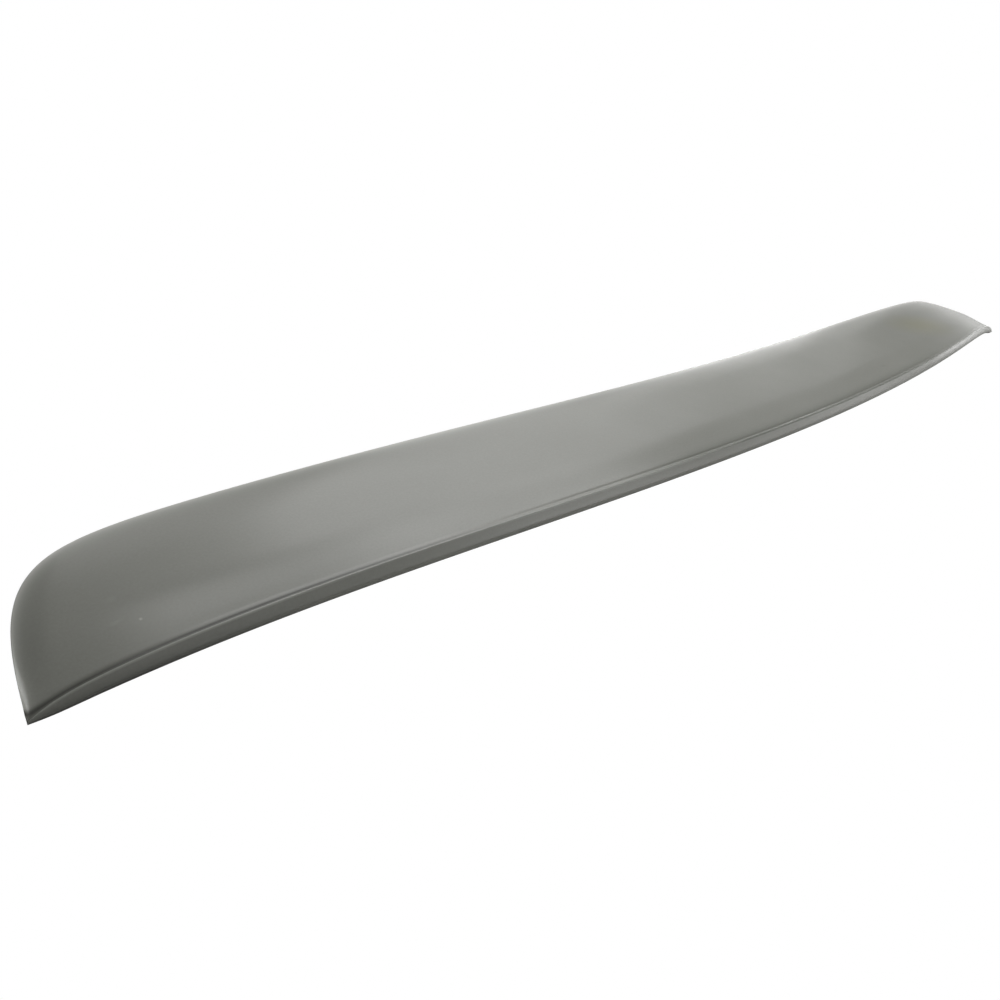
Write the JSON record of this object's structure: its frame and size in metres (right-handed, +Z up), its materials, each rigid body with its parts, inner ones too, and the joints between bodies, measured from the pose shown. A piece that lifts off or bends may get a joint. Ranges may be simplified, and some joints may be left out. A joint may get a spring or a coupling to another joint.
{
  "type": "roof spoiler",
  "caption": "Long primed roof spoiler: a thin blade bowed forward, with a crisp crease, a fine groove and a riser along the front, a thin rear rim that the face rolls down to, and rounded, swept ends.",
  "frame": {"origin": "middle of the footprint, at the lowest point of the base and the tips, where the part lies on a table", "axes": "+X along the length, +Y from the front riser to the rear rim, +Z up, away from the bonding face"},
  "size_m": [1.1494, 0.1208, 0.0433],
  "materials": {
    "primer": "satin primer"
  },
  "bodies": {
    "root": {"spoiler": "primer"}
  },
  "joints": []
}
